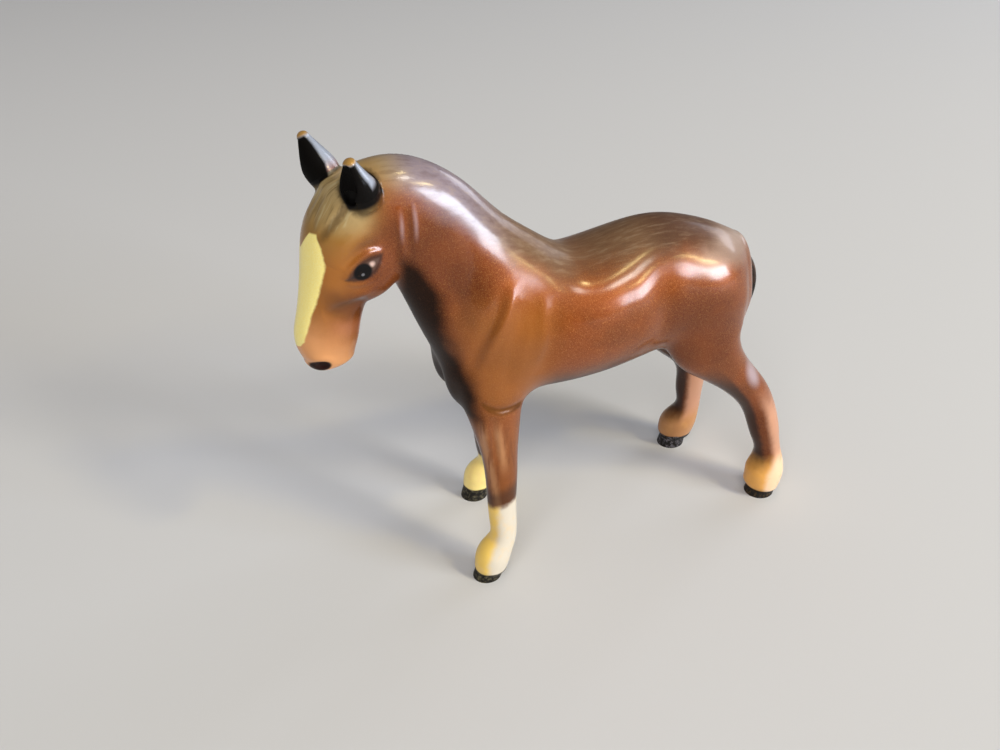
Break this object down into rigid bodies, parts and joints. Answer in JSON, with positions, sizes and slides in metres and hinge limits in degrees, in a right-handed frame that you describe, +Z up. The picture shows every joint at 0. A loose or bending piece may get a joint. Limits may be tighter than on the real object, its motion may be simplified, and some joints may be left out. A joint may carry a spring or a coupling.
{
  "type": "toy farm animal figure",
  "caption": "Standing toy horse with lowered head, split hollow body shells, glued head, ears, legs and tail, and flat hoof soles",
  "frame": {"origin": "on the ground, under the middle of the bounding box", "axes": "+X towards the nose, +Y towards the left flank, +Z up"},
  "size_m": [0.114, 0.035, 0.1031],
  "materials": {
    "coat": "chestnut pearl paint under clear gloss, greyer along the back, with a pale yellow blaze and black eyes",
    "leg_coat": "chestnut pearl paint fading to cream and tan pasterns above worn black hooves",
    "ear_coat": "black inner cup, brown back and gold tip",
    "tail_coat": "near-black brown paint"
  },
  "bodies": {
    "root": {"body_left_shell": "coat", "body_right_shell": "coat", "head": "coat", "left_ear": "ear_coat", "right_ear": "ear_coat", "left_foreleg": "leg_coat", "right_foreleg": "leg_coat", "left_hind_leg": "leg_coat", "right_hind_leg": "leg_coat", "tail": "tail_coat"}
  },
  "joints": []
}
